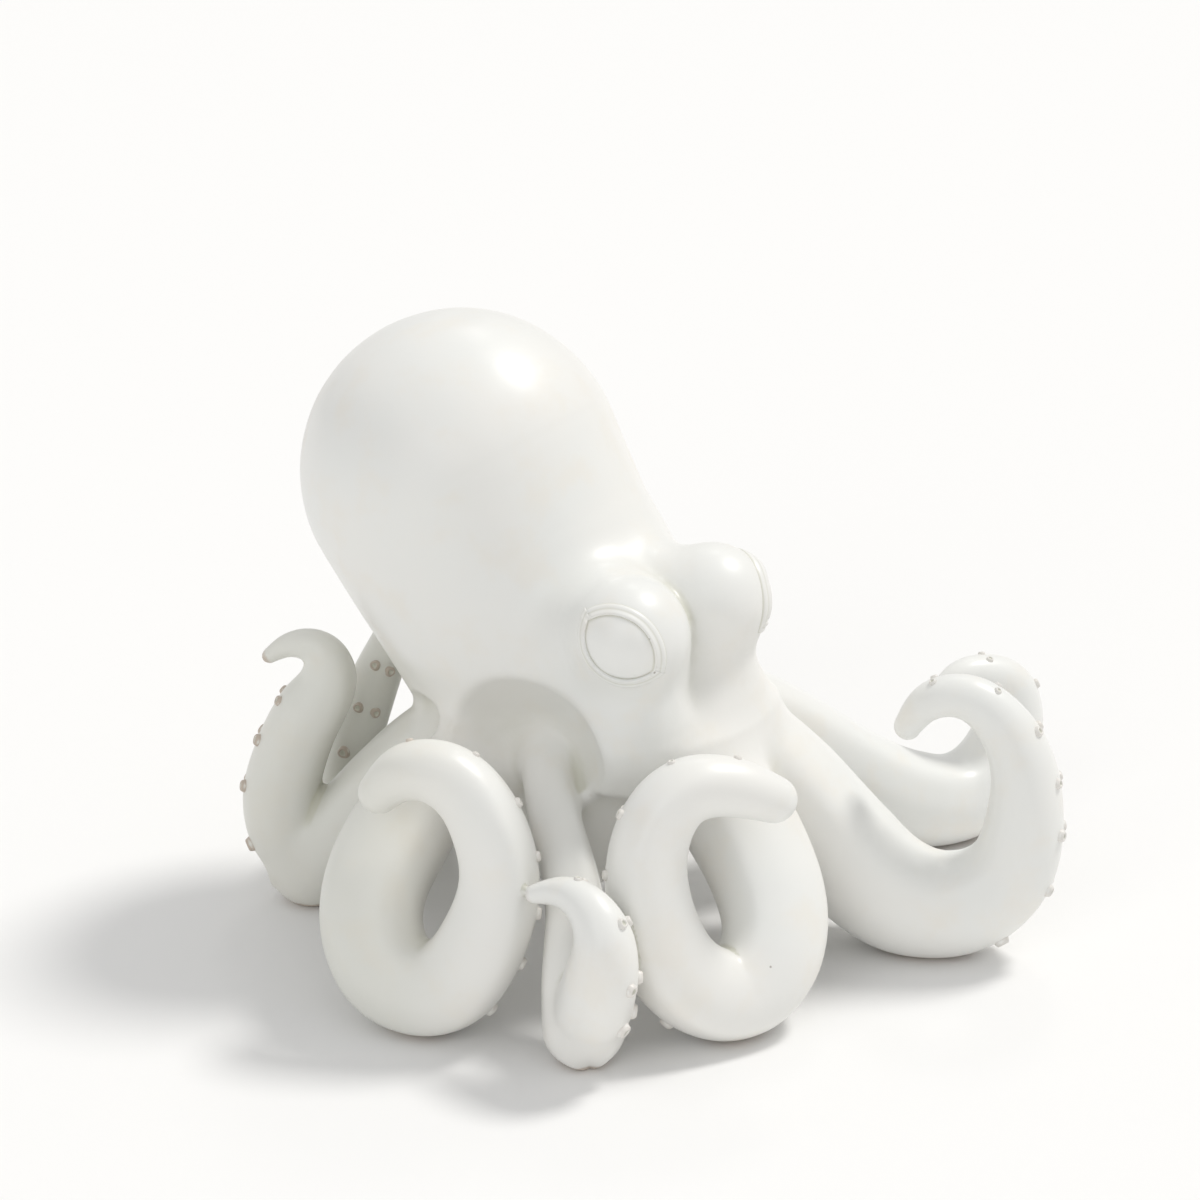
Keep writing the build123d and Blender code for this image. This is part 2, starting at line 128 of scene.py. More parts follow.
# The net of the skin: voxel size, how far the raw tubes are shrunk, how strongly the net is evened, loose and close
# rounds with their longest steps, last rounds with no evening, and height and radius of each ring of the raw web
skin = {"voxel": 1.7, "shrink": 1.6, "relax": 0.45, "looseRounds": (4, 12.0), "closeRounds": (6, 4.0), "still": 2,
        "webRings": ((68.0, 38.0), (72.0, 45.0), (80.0, 50.0), (116.0, 68.0), (150.0, 66.0))}

hub = np.array([body["hubX"], body["hubY"], 0.0])
up = np.array([0.0, 0.0, 1.0])
sideways = np.array([1.0, 0.0, 0.0])


# Unit vector at an angle from the front, positive towards the figure's left, and the one across it
def directions(angle):
    a = math.radians(angle)
    return np.array([math.sin(a), -math.cos(a), 0.0]), np.array([math.cos(a), math.sin(a), 0.0])


def polar(angle, out, side, height):
    ahead, across = directions(angle)
    return hub + ahead * out + across * side + up * height


def armAngle(name):
    side, number = name.split("_")
    return (int(number) - 0.5) * 45 * (1 if side == "left" else -1)


# Natural cubic through the rows, by chord length: x, y, z and radius at evenly spread places between them
def smoothRows(rows, steps):
    rows = np.asarray(rows, float)
    chord = np.r_[0, np.cumsum(np.linalg.norm(np.diff(rows[:, :3], axis=0), axis=1))]
    n, h = len(rows), np.diff(chord)
    matrix = np.eye(n)
    right = np.zeros_like(rows)
    for i in range(1, n - 1):
        matrix[i, i - 1:i + 2] = h[i - 1], 2 * (h[i - 1] + h[i]), h[i]
        right[i] = 6 * ((rows[i + 1] - rows[i]) / h[i] - (rows[i] - rows[i - 1]) / h[i - 1])
    bend = np.linalg.solve(matrix, right)
    at = np.linspace(0, chord[-1], steps * (n - 1) + 1)
    i = np.clip(np.searchsorted(chord, at, side="right") - 1, 0, n - 2)
    a, b, w = (chord[i + 1] - at)[:, None], (at - chord[i])[:, None], h[i][:, None]
    curve = (bend[i] * a ** 3 + bend[i + 1] * b ** 3) / (6 * w)
    curve += (rows[i] / w - bend[i] * w / 6) * a + (rows[i + 1] / w - bend[i + 1] * w / 6) * b
    curve[:, 3] = np.interp(at, chord, rows[:, 3])
    return curve, chord[-1]


# A tapered tube: middle line, radii, and a side and a back direction carried along it without twist
def makeTube(rows, side, steps=12, share=(0.0, 1.0)):
    curve, length = smoothRows(rows, steps)
    centre, radius = curve[:, :3], curve[:, 3]
    along = np.gradient(centre, axis=0)
    along /= np.linalg.norm(along, axis=1)[:, None]
    sides = np.zeros_like(centre)
    for i in range(len(centre)):
        side = side - along[i] * side.dot(along[i])
        side = side / np.linalg.norm(side)
        sides[i] = side
    return {"centre": centre, "radius": radius, "along": along, "side": sides, "back": np.cross(along, sides),
            "share": np.linspace(share[0], share[1], len(centre)), "length": length}


# Distance to a tube's skin, with its gradient and the share of the way along. The back is flattened,
# flat * exp(-(angle / flatWidth)^2), between two soft edges, edge * exp(-((angle - edgeAt) / edgeWidth)^2)
def tubeField(points, tube, edge=0.0, flat=0.0):
    start, step = tube["centre"][:-1], np.diff(tube["centre"], axis=0)
    square = (step ** 2).sum(1)
    value, slope, share = np.empty(len(points)), np.empty((len(points), 3)), np.empty(len(points))
    for first in range(0, len(points), 6000):
        p = points[first:first + 6000]
        dot = p @ step.T - (start * step).sum(1)
        t = np.clip(dot / square, 0, 1)
        gap2 = (p ** 2).sum(1)[:, None] - 2 * (p @ start.T) + (start ** 2).sum(1) - 2 * t * dot + t * t * square
        r = tube["radius"][:-1] + t * np.diff(tube["radius"])
        k = (np.sqrt(np.maximum(gap2, 0)) - r).argmin(1)
        tk = t[np.arange(len(p)), k]
        away = p - start[k] - tk[:, None] * step[k]
        distance = np.linalg.norm(away, axis=1)
        away /= np.maximum(distance, 1e-6)[:, None]
        radius = r[np.arange(len(p)), k]
        s = tube["share"][k] + tk * (tube["share"][k + 1] - tube["share"][k])
        if edge:
            angle = np.abs(np.arctan2((away * tube["side"][k]).sum(1), (away * tube["back"][k]).sum(1)))
            grow = np.clip(s * 5, 0, 1) * np.clip((1 - s) * 5, 0, 1)
            swell = edge * np.exp(-((angle - armShape["edgeAt"]) / armShape["edgeWidth"]) ** 2)
            radius = radius * (1 + grow * (swell - flat * np.exp(-(angle / armShape["flatWidth"]) ** 2)))
        value[first:first + 6000] = distance - radius
        slope[first:first + 6000] = away
        share[first:first + 6000] = s
    return value, slope, share


# Smooth union: the lesser value, less k * h * (1 - h) where both are near, h being the share of b
def join(a, b, k):
    h = np.clip(0.5 + 0.5 * (a[0] - b[0]) / k, 0, 1)
    return a[0] * (1 - h) + b[0] * h - k * h * (1 - h), a[1] * (1 - h)[:, None] + b[1] * h[:, None]


# A ball taken away from a field, with an edge rounded by k
def carve(a, centre, radius, k):
    away = a[2] - centre
    distance = np.linalg.norm(away, axis=1)
    cut = (distance - radius, away / np.maximum(distance, 1e-6)[:, None])
    value, slope = join((-a[0], -a[1]), cut, k)
    return -value, -slope, a[2]


# Rounded dish under the head: the rounded corner of two half planes, the tapered wall and the flat underside, in the
# plane of radius and height: hypot(max(wall, 0), max(under, 0)) + min(max(wall, under), 0) - edge
def webField(points):
    centre = hub + np.array([0, body["mantle"][0][0], 0])
    rho = np.linalg.norm(points[:, :2] - centre[:2], axis=1)
    outwards = np.c_[(points[:, :2] - centre[:2]) / np.maximum(rho, 1e-6)[:, None], np.zeros(len(points))]
    edge = body["webRound"]
    low, high = body["seam"] - body["webDepth"] + edge, body["seam"] + body["seamRound"]
    lean = np.array([body["webDepth"], body["webFoot"] - body["webTop"]])
    lean = lean / np.linalg.norm(lean)
    wall = (rho - body["webFoot"] + edge * 0.7) * lean[0] + (points[:, 2] - low) * lean[1]
    under = low - points[:, 2]
    a, b = np.maximum(wall, 0), np.maximum(under, 0)
    corner = np.hypot(a, b)
    value = corner + np.minimum(np.maximum(wall, under), 0) - edge
    isCorner, isWall = corner > 1e-6, wall > under
    gr = np.where(isCorner, a * lean[0] / np.maximum(corner, 1e-6), np.where(isWall, lean[0], 0))
    gz = np.where(isCorner, (a * lean[1] - b) / np.maximum(corner, 1e-6), np.where(isWall, lean[1], -1))
    over = points[:, 2] - high
    top = over > value
    slope = outwards * np.where(top, 0, gr)[:, None] + up * np.where(top, 1, gz)[:, None]
    return np.where(top, over, value), slope


faceAhead, faceAcross = directions(body["faceYaw"])


def facePoint(forward, side, height):
    return hub + faceAhead * forward + faceAcross * side + up * height


moundAhead, moundAside, moundUp, moundRadius = body["mound"]
mounds = {sign: facePoint(moundAhead, moundAside + sign * body["moundSpacing"] / 2, moundUp) for sign in (-1, 1)}
cheek = [*facePoint(*body["cheek"][:3]), body["cheek"][3]]
mantleTube = makeTube([(body["hubX"], body["hubY"] + b, u, r) for b, u, r in body["mantle"]], sideways, 14)
cheekTubes = [makeTube([cheek, [*mounds[sign], moundRadius]], sideways) for sign in (-1, 1)]


# A slow wobble of the hand in millimetres, the sum of four waves of crossed sines
def wobble(points):
    x, y, z = points.T
    waves = np.sin(x / 17 + 1.3) * np.sin(y / 21) + np.sin(y / 13 + z / 19) + np.sin(z / 15 - x / 23 + 2.0)
    waves += 0.6 * np.sin(x / 7.3 + 0.4) * np.sin(y / 8.1 - z / 6.7)
    return body["handWobble"] * waves / 3


# Head and web: the mantle stops at the seam, the cheeks flow into it, and the scoops are carved out
def bodyField(points, carved=True):
    value, slope, _ = tubeField(points, mantleTube)
    seam = (points[:, 2] - body["seam"] + body["seamRound"], np.tile(up, (len(points), 1)))
    value, slope = join((-value, -slope), seam, body["seamRound"])
    field = (-value, -slope)
    brow = None
    for tube in cheekTubes:
        v, g, _ = tubeField(points, tube)
        brow = (v, g) if brow is None else join(brow, (v, g), body["moundBlend"])
    for tube in jowlTubes:
        brow = join(brow, tubeField(points, tube)[:2], body["jowlBlend"])
    field = join(field, brow, body["browBlend"])
    field = join(field, webField(points), body["webBlend"])
    field = join(field, tubeField(points, curtainTube)[:2], body["curtainBlend"])
    field = (field[0] + wobble(points), field[1], points)
    if carved:
        for angle, out, height, radius in scoops["others"] + scoops["under"] + scoops["front"]:
            field = carve(field, polar(angle, out, 0, height), radius, scoops["edge"])
    return field[0], field[1]


# Eyes: each mound has a frame with its last axis out along the eye and its first towards the outer corner. The opening is
# the lens between two circles, so a point's share of it is its greater distance to their middles over their radius
eyeSize = {"yaw": 59.0, "pitch": 9.0, "tilt": 34.0, "length": 38.0, "width": 28.0, "lid": 4.6, "upperRise": 2.6,
           "lowerRise": 2.0, "upperOver": 0.10, "ballRise": 0.9, "ballBulge": 0.5, "ballRoll": 0.3, "ballReach": 0.998,
           "socketSink": 5.0}
lensRadius = (eyeSize["length"] ** 2 / 4 + eyeSize["width"] ** 2 / 4) / eyeSize["width"]
lensShift = lensRadius - eyeSize["width"] / 2


def openingShare(x, y):
    return np.maximum(np.hypot(x, y + lensShift), np.hypot(x, y - lensShift)) / lensRadius


eyes = {}
for sign in (-1, 1):
    yaw = math.radians(body["faceYaw"] + sign * eyeSize["yaw"])
    pitch, tilt = math.radians(eyeSize["pitch"]), math.radians(eyeSize["tilt"])
    outward = np.array([math.sin(yaw) * math.cos(pitch), -math.cos(yaw) * math.cos(pitch), math.sin(pitch)])
    level = sign * np.array([math.cos(yaw), math.sin(yaw), 0.0])
    upright = np.cross(outward, level) * sign
    corner = level * math.cos(tilt) + upright * math.sin(tilt)
    eyes[sign] = {"centre": mounds[sign], "axes": np.array([corner, np.cross(outward, corner), outward])}


# Jowls: the columns that run down from the mounds to the front arms
topRadius, footRadius, drop, inset = body["jowl"]
jowlTubes = []
for sign, eye in eyes.items():
    top = mounds[sign] - eye["axes"][2] * inset
    foot = top - up * drop
    jowlTubes.append(makeTube([[*top, topRadius], [*foot, footRadius]], sideways))
curtainRows = [[*polar(angle, out, 0, height), radius] for angle, out, height, radius in body["curtain"]]
curtainTube = makeTube(curtainRows, sideways)


# The rows of an arm in millimetres: its middle line stands a radius above its underside, less the flat of its foot
def armPoints(name, rows):
    placed = []
    for out, side, under, girth in rows:
        radius = girth * armSize["girth"]
        height = under * armSize["height"] + radius - armSize["flat"]
        placed.append([*polar(armAngle(name), out * armSize["reach"], side * armSize["sway"], height), radius])
    return placed


armTubes, curlTubes = {}, {}
for name, rows in armRows.items():
    across = directions(armAngle(name))[1]
    if name in curlRows:
        armTubes[name] = makeTube(armPoints(name, rows), across, share=(0, 0.5))
        curlTubes[name] = makeTube(armPoints(name, curlRows[name]), armTubes[name]["side"][-1], share=(0.5, 1))
    else:
        armTubes[name] = makeTube(armPoints(name, rows), across)


# One arm: value, gradient and share along; a folded arm joins its two stretches at the foot
def armField(points, name):
    v, g, s = tubeField(points, armTubes[name], armShape["edge"], armShape["flat"])
    if name in curlTubes:
        v2, g2, s2 = tubeField(points, curlTubes[name], armShape["edge"], armShape["flat"])
        s = np.where(v2 < v, s2, s)
        v, g = join((v, g), (v2, g2), armShape["foldBlend"])
    return v + wobble(points), g, s


# The box past which an arm has no hold on the figure, with room for its widest blend
def armReachBox(name):
    tubes = [armTubes[name]] + ([curlTubes[name]] if name in curlTubes else [])
    low = np.min([(t["centre"] - t["radius"][:, None]).min(0) for t in tubes], axis=0)
    high = np.max([(t["centre"] + t["radius"][:, None]).max(0) for t in tubes], axis=0)
    return low - 26, high + 26


# The whole figure: value and gradient, and the nearest arm with its own value and share
def figureField(points):
    value, slope = bodyField(points)
    nearest = np.full(len(points), -1)
    armValue, armShare = np.full(len(points), 1e3), np.zeros(len(points))
    hubDistance = np.linalg.norm(points[:, :2] - hub[:2], axis=1)
    ease = np.clip((hubDistance - armShape["blendNear"]) / (armShape["blendFar"] - armShape["blendNear"]), 0, 1)
    blend = armShape["rootBlend"] * (1 - ease * ease * (3 - 2 * ease)) + armShape["tipBlend"]
    for name in armRows:
        low, high = armReachBox(name)
        near = ((points > low) & (points < high)).all(1)
        v, g, s = armField(points[near], name)
        k = blend[near] * armShape["rootShare"].get(name, 1.0)
        value[near], slope[near] = join((value[near], slope[near]), (v, g), k)
        better = v < armValue[near]
        index = np.flatnonzero(near)[better]
        nearest[index] = list(armRows).index(name)
        armValue[index], armShare[index] = v[better], s[better]
    return value, slope, nearest, armValue, armShare


# Mesh from rows of points, closed round and capped with a point at each end
def gridMesh(rings):
    rows, count = rings.shape[:2]
    vertices = np.vstack([rings.reshape(-1, 3), rings[0].mean(0)[None], rings[-1].mean(0)[None]])
    i, j = np.meshgrid(np.arange(rows - 1), np.arange(count), indexing="ij")
    a, b = (i * count + j).ravel(), (i * count + (j + 1) % count).ravel()
    quads = np.c_[a, b, b + count, a + count]
    j = np.arange(count)
    first = np.c_[(j + 1) % count, j, np.full(count, rows * count)]
    last = np.c_[(rows - 1) * count + j, (rows - 1) * count + (j + 1) % count, np.full(count, rows * count + 1)]
    return vertices, [quads, first, last]


# A mesh object from millimetre points and sets of faces, shaded smooth, with its own normals where they are given
def buildMesh(name, vertices, faceSets, normals=None):
    mesh = bpy.data.meshes.new(name)
    corners = np.concatenate([f.ravel() for f in faceSets]).astype(np.int32)
    sizes = np.concatenate([np.full(len(f), f.shape[1]) for f in faceSets]).astype(np.int32)
    mesh.vertices.add(len(vertices))
    mesh.vertices.foreach_set("co", (np.asarray(vertices) * mm).astype(np.float32).ravel())
    mesh.loops.add(len(corners))
    mesh.loops.foreach_set("vertex_index", corners)
    mesh.polygons.add(len(sizes))
    mesh.polygons.foreach_set("loop_start", np.r_[0, np.cumsum(sizes)[:-1]].astype(np.int32))
    mesh.update(calc_edges=True)
    mesh.validate()
    mesh.polygons.foreach_set("use_smooth", np.ones(len(mesh.polygons), bool))
    if normals is not None:
        mesh.normals_split_custom_set_from_vertices(normals.astype(np.float32))
    piece = bpy.data.objects.new(name, mesh)
    bpy.context.scene.collection.objects.link(piece)
    return piece


# Rings round a tube, shrunk a little, with domed ends
def tubeRings(tube, shrink, count=28):
    turn = np.linspace(0, 2 * math.pi, count, endpoint=False)
    centre, radius = tube["centre"], np.maximum(tube["radius"] - shrink, 1.5)
    dome = np.linspace(0.06, 1, 7) * math.pi / 2
    rings = []
    for angle in dome:
        rings.append((centre[0] - tube["along"][0] * radius[0] * math.cos(angle), radius[0] * math.sin(angle), 0))
    for i in range(1, len(centre) - 1):
        rings.append((centre[i], radius[i], i))
    for angle in dome[::-1]:
        rings.append((centre[-1] + tube["along"][-1] * radius[-1] * math.cos(angle), radius[-1] * math.sin(angle), -1))
    cosine, sine = np.cos(turn)[:, None], np.sin(turn)[:, None]
    return np.array([c + r * (cosine * tube["side"][i] + sine * tube["back"][i]) for c, r, i in rings])


def faceEdges(faces):
    return np.vstack([faces[:, [0, 1]], faces[:, [1, 2]], faces[:, [2, 3]], faces[:, [3, 0]]])


# The least index among all that are joined by pairs, found by hooking and jumping
def islands(count, pairs):
    label = np.arange(count)
    while True:
        low = np.minimum(label[pairs[:, 0]], label[pairs[:, 1]])
        after = label.copy()
        np.minimum.at(after, label[pairs[:, 0]], low)
        np.minimum.at(after, label[pairs[:, 1]], low)
        after = after[after]
        if (after == label).all():
            return label
        label = after


# Points and quads of one closed skin of even voxels round what the faces enclose. Only the outermost shell is kept,
# for tubes close off small hollows where they meet
def voxelSkin(vertices, faceSets):
    raw = buildMesh("rawSkin", vertices, faceSets)
    remesh = raw.modifiers.new("voxels", "REMESH")
    remesh.mode = "VOXEL"
    remesh.voxel_size = skin["voxel"] * mm
    bpy.context.view_layer.update()
    evaluated = raw.evaluated_get(bpy.context.evaluated_depsgraph_get())
    coarse = bpy.data.meshes.new_from_object(evaluated)
    vertexCount, faceCount = len(coarse.vertices), len(coarse.polygons)
    points = np.empty(vertexCount * 3, np.float32)
    coarse.vertices.foreach_get("co", points)
    points = points.reshape(-1, 3).astype(float) / mm
    quads = np.empty(faceCount * 4, np.int32)
    coarse.loops.foreach_get("vertex_index", quads)
    quads = quads.reshape(-1, 4)
    bpy.data.objects.remove(raw)
    bpy.data.meshes.remove(coarse)
    label = islands(vertexCount, faceEdges(quads))
    shell = np.bincount(label).argmax()
    renumbered = np.cumsum(label == shell) - 1
    print("scene: skin", vertexCount, "vertices in", len(np.unique(label)), "shells")
    return points[label == shell], renumbered[quads[label[quads[:, 0]] == shell]]


print("scene: raw tubes for the skin")
rawVertices, rawFaces, offset = [], [], 0
turns = np.linspace(0, 2 * math.pi, 64, endpoint=False)
circle = np.c_[np.cos(turns), np.sin(turns), np.zeros(64)]
webRings = np.array([hub + [0, 6, z] + circle * r for z, r in skin["webRings"]])
mantleRings = tubeRings(mantleTube, skin["shrink"], 64)
mantleRings = mantleRings[mantleRings[:, :, 2].min(1) > 100]
# the raw head follows the scooped arches, so that the skin starts near them
for rings in (mantleRings, webRings):
    for _ in range(6):
        flat = rings.reshape(-1, 3)
        value, slope = bodyField(flat)
        rings -= (slope * np.clip(value + skin["shrink"], 0, 12)[:, None]).reshape(rings.shape)
slimTubes = cheekTubes + jowlTubes + [curtainTube] + list(armTubes.values()) + list(curlTubes.values())
for rings in [mantleRings, webRings] + [tubeRings(tube, skin["shrink"], 32) for tube in slimTubes]:
    vertices, faces = gridMesh(rings)
    rawVertices.append(vertices)
    rawFaces += [f + offset for f in faces]
    offset += len(vertices)
points, quads = voxelSkin(np.vstack(rawVertices), rawFaces)


def neighbours():
    pairs = faceEdges(quads)
    return len(points), pairs, np.bincount(pairs[:, 0], minlength=len(points))


vertexCount, edges, degree = neighbours()


def neighbourMean(values):
    out = np.empty_like(values)
    for axis in range(values.shape[1]):
        out[:, axis] = np.bincount(edges[:, 0], values[edges[:, 1], axis], vertexCount)
    return out / np.maximum(degree, 1)[:, None]


# Draw the skin onto the figure's own surface: step along the gradient, evening the net between steps. The first skin is
# drawn loosely and then remade, so that the second starts near the surface with no folds in its fillets
for isClose, (rounds, stride) in enumerate((skin["looseRounds"], skin["closeRounds"])):
    if isClose:
        points, quads = voxelSkin(points, [quads])
        vertexCount, edges, degree = neighbours()
    for turn in range(rounds):
        value, slope = figureField(points)[:2]
        size2 = np.maximum((slope ** 2).sum(1), 0.2)
        points -= slope * np.clip(value / size2, -stride, stride)[:, None]
        if not isClose or turn < rounds - skin["still"]:
            normal = slope / np.sqrt(size2)[:, None]
            pull = neighbourMean(points) - points
            pull -= normal * (pull * normal).sum(1)[:, None]
            points += skin["relax"] * pull
# Where faces have folded over, the net is let slack and drawn onto the surface again
slope = figureField(points)[1]
for _ in range(5):
    crossed = np.cross(points[quads[:, 2]] - points[quads[:, 0]], points[quads[:, 3]] - points[quads[:, 1]])
    folded = (crossed * slope[quads[:, 0]]).sum(1) < 0
    print("scene: folded faces", int(folded.sum()))
    if not folded.any():
        break
    slack = np.zeros(vertexCount, bool)
    slack[quads[folded]] = True
    for _ in range(3):
        slack[edges[slack[edges[:, 0]], 1]] = True
    for _ in range(4):
        points[slack] = neighbourMean(points)[slack]
    for _ in range(2):
        value, steep = figureField(points[slack])[:2]
        points[slack] -= steep * np.clip(value / np.maximum((steep ** 2).sum(1), 0.2), -4, 4)[:, None]
    slope[slack] = steep
value = figureField(points)[0]
print("scene: skin is within", round(float(np.percentile(np.abs(value), 99.5)), 3), "mm of its surface")

# Take out the last facets with a shrink and swell pair, then sink the sockets under the eyeballs and cut the feet flat
for factor in (0.5, -0.52, 0.5, -0.52):
    points += factor * (neighbourMean(points) - points)
for sign, eye in eyes.items():
    x, y, z = ((points - eye["centre"]) @ eye["axes"].T).T
    share = np.where(z > 10, openingShare(x, y), 9.0)
    points -= eye["axes"][2] * (eyeSize["socketSink"] * np.clip((1.12 - share) / 0.14, 0, 1))[:, None]
# The last millimetre or so before the CAD box is squeezed, so that no swelling passes it
squeeze = 1.2
for sign, limit in zip((-1, 1), np.array(cadBox) / mm):
    over = np.maximum((points - limit) * sign + squeeze, 0)
    over[:, 2] *= sign > 0
    points -= sign * (over - squeeze * (1 - np.exp(-over / squeeze)))
points[:, 2] = np.maximum(points[:, 2], 0.0)
a, b, c, d = (points[quads[:, k]] for k in range(4))
faceNormal = np.cross(c - a, d - b)
normals = np.stack([np.bincount(quads.ravel(), np.repeat(faceNormal[:, k], 4), vertexCount) for k in range(3)], 1)
normals /= np.maximum(np.linalg.norm(normals, axis=1), 1e-9)[:, None]
normals = normals + neighbourMean(normals)
normals /= np.maximum(np.linalg.norm(normals, axis=1), 1e-9)[:, None]

# Edge sharpness for the glaze: how fast the normal turns, convex positive, from the mean of the neighbours
lap = neighbourMean(points) - points
gap = ((points[edges[:, 0]] - points[edges[:, 1]]) ** 2).sum(1)
spacing2 = np.maximum(np.bincount(edges[:, 0], gap, vertexCount) / np.maximum(degree, 1), 1e-6)
bend = -(lap * normals).sum(1) / spacing2
bend = neighbourMean(bend[:, None])[:, 0]
# Depth of the broad hollows, for the painted olive shade in them: how far a much smoothed skin stands off the true one,
# positive in broad hollows, in millimetres
calm = points
for _ in range(70):
    calm = neighbourMean(calm)
hollowOffset = ((calm - points) * normals).sum(1)

# Which piece each face belongs to: an arm past its luting face, else the web below the seam and on the stubs, else the
# head. An arm takes a collar of its fillet where it is below the seam or clear of the head, and all of its own curl
split = {"collar": 3.0, "below": 1.5, "clear": 14.0, "curl": 0.6}
centre = points[quads].mean(1)
headValue, _ = bodyField(centre, False)
_, _, faceArm, faceArmValue, faceShare = figureField(centre)
owner = np.where(centre[:, 2] < body["seam"], 1, 0)
owner[(faceArm >= 0) & (faceArmValue < headValue)] = 1
pieceNames = ["mantle_head", "web_crown"] + ["arm_" + name for name in armRows]
for index, name in enumerate(armRows):
    row = armSize["lutingOf"].get(name, armSize["lutingRow"])
    luting = row / (len(armRows[name]) - 1) * (0.5 if name in curlRows else 1.0)
    past = (centre[:, 2] < body["seam"] - split["below"]) | (headValue > split["clear"])
    rooted = past & (faceArmValue < headValue + split["collar"])
    curled = (faceShare > split["curl"]) & (faceArmValue < headValue)
    owner[(faceArm == index) & (faceShare > luting) & (rooted | curled)] = index + 2

# Crumbs: every patch of a piece but its largest goes to the piece round it
sides = np.sort(np.stack([quads, np.roll(quads, -1, axis=1)], 2).reshape(-1, 2), axis=1)
key = sides[:, 0].astype(np.int64) * vertexCount + sides[:, 1]
order = np.argsort(key, kind="stable")
same = np.flatnonzero(key[order][1:] == key[order][:-1])
touching = np.c_[order[same] // 4, order[same + 1] // 4]
for _ in range(3):
    label = islands(len(quads), touching[owner[touching[:, 0]] == owner[touching[:, 1]]])
    size = np.bincount(label, minlength=len(quads))
    keep = np.zeros(len(quads), bool)
    for index in range(len(pieceNames)):
        roots = np.unique(label[owner == index])
        keep[roots[size[roots].argmax()]] = True
    crumbs = ~keep[label]
    if not crumbs.any():
        break
    for root in np.unique(label[crumbs]):
        mine = label == root
        a, b = mine[touching[:, 0]], mine[touching[:, 1]]
        around = np.r_[owner[touching[a & ~b, 1]], owner[touching[b & ~a, 0]]]
        if len(around):
            owner[mine] = np.bincount(around).argmax()

# Each piece is its own faces, and a fan to a point inside closes every loop of open edges towards its neighbours. The
# long loop round the seam has its point on the hub's line
pieces = {}
for index, name in enumerate(pieceNames):
    used, packed = np.unique(quads[owner == index], return_inverse=True)
    packed = packed.reshape(-1, 4)
    local, localNormals = points[used], normals[used]
    pairs = faceEdges(packed)
    key, back = (pairs[:, k].astype(np.int64) * len(used) + pairs[:, 1 - k] for k in (0, 1))
    openEdges = pairs[~np.isin(key, back)]
    fans, extra, extraNormals = [], [], []
    if len(openEdges):
        group = islands(len(used), openEdges)
        for root in np.unique(group[openEdges[:, 0]]):
            loop = openEdges[group[openEdges[:, 0]] == root]
            middle = local[loop[:, 0]].mean(0) - 0.6 * localNormals[loop[:, 0]].mean(0)
            if len(loop) > 160:
                middle = hub + up * body["seam"]
            tip = len(used) + len(extra)
            extra.append(middle)
            extraNormals.append([0, 0, 1])
            fans.append(np.c_[loop[:, 1], loop[:, 0], np.full(len(loop), tip)])
    allPoints = np.vstack([local] + ([np.array(extra)] if extra else []))
    allNormals = np.vstack([localNormals] + ([np.array(extraNormals, float)] if extra else []))
    piece = buildMesh(name + "_skin", allPoints, [packed] + ([np.vstack(fans)] if fans else []), allNormals)
    # each point keeps its bend, and the depth of its hollow for the painted shade there
    for attribute, values in (("edgeBend", bend), ("hollowDepth", hollowOffset)):
        entry = piece.data.attributes.new(attribute, "FLOAT", "POINT")
        entry.data.foreach_set("value", np.r_[values[used], np.zeros(len(extra))].astype(np.float32))
    pieces[name] = piece
    print("scene: piece", name, len(packed), "faces", len(extra), "closed ends")


# Heights of the skin over an eye's frame, at places given by its first two axes, found by steps along the third
def skinHeight(eye, x, y):
    z = np.sqrt(np.maximum((moundRadius + 5) ** 2 - x ** 2 - y ** 2, 0))
    for _ in range(6):
        value, slope = bodyField(eye["centre"] + np.c_[x, y, z] @ eye["axes"])
        z = z - np.clip(value / np.maximum(slope @ eye["axes"][2], 0.3), -3, 3)
    return z


# Eyeball: a dome over the lens opening, radius of the mound plus its rise and a bulge that fades as 1 - share^2, rolled
# under at the rim. Eyelids: a double bead swept along each side of the lens, its height read from a short profile, and
# the bend that the glaze reads at each point of it
lidProfile = np.array([(-0.12, -3.0), (-0.10, 0.05), (-0.02, 0.50), (0.09, 0.88), (0.20, 1.0), (0.33, 0.93), (0.45, 0.74),
                       (0.56, 0.62), (0.67, 0.64), (0.78, 0.70), (0.88, 0.60), (0.96, 0.30), (1.0, -0.15), (1.0, -3.0)])
# bends along the lid profile: its hollows are tinted olive, pooled glaze and painted shade, and its ridges break to
# brown
lidBend = np.array([-0.09, -0.07, -0.02, 0.06, 0.09, 0.03, -0.02, -0.05, -0.03, 0.04, 0.03, -0.04, -0.09, -0.09])
ballTurns = 96
eyeNames = {-1: "right", 1: "left"}
turn = np.linspace(0, 2 * math.pi, ballTurns, endpoint=False)
cosine, sine = np.cos(turn), np.sin(turn)
reach = -lensShift * np.abs(sine) + np.sqrt(np.maximum(lensRadius ** 2 - (lensShift * cosine) ** 2, 0))
reach = reach * eyeSize["ballReach"]
ballRadius = moundRadius + eyeSize["ballRise"]
